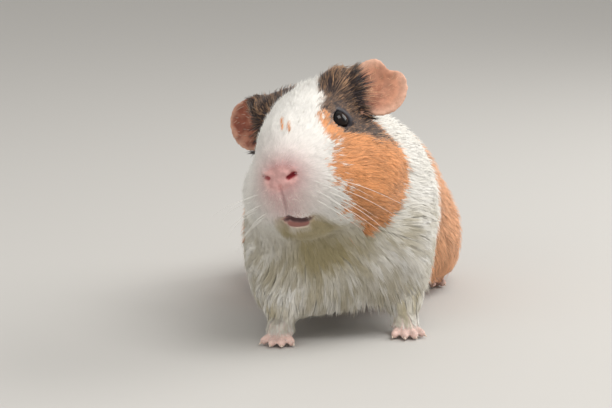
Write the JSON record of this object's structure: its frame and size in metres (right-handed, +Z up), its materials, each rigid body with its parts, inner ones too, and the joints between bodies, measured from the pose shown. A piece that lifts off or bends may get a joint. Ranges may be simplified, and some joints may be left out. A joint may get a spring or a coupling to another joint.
{
  "type": "guinea pig",
  "caption": "Short-haired guinea pig standing with its head raised and tilted, as a still life-size model.",
  "frame": {"origin": "on the floor, under the middle of the animal's bounding box", "axes": "+Z up, the nose towards -Y, the animal's left side towards +X"},
  "size_m": [0.104, 0.1964, 0.1184],
  "materials": {
    "white_fur": "short soft fur, off-white",
    "ginger_fur": "short soft fur, ginger",
    "bare_skin": "thin bare pink skin",
    "eye": "wet and glossy, nearly black",
    "claw": "pale translucent horn"
  },
  "bodies": {
    "root": {"head": "white_fur", "jaw": "white_fur", "neck": "white_fur", "trunk": "ginger_fur", "eye_left": "eye", "ear_left": "bare_skin", "leg_front_left": "white_fur", "leg_hind_left": "ginger_fur", "foot_front_left": "bare_skin", "foot_hind_left": "bare_skin", "claw_front_left_1": "claw", "claw_front_left_2": "claw", "claw_front_left_3": "claw", "claw_front_left_4": "claw", "claw_hind_left_1": "claw", "claw_hind_left_2": "claw", "claw_hind_left_3": "claw", "eye_right": "eye", "ear_right": "bare_skin", "leg_front_right": "white_fur", "leg_hind_right": "ginger_fur", "foot_front_right": "bare_skin", "foot_hind_right": "bare_skin", "claw_front_right_1": "claw", "claw_front_right_2": "claw", "claw_front_right_3": "claw", "claw_front_right_4": "claw", "claw_hind_right_1": "claw", "claw_hind_right_2": "claw", "claw_hind_right_3": "claw"}
  },
  "joints": []
}
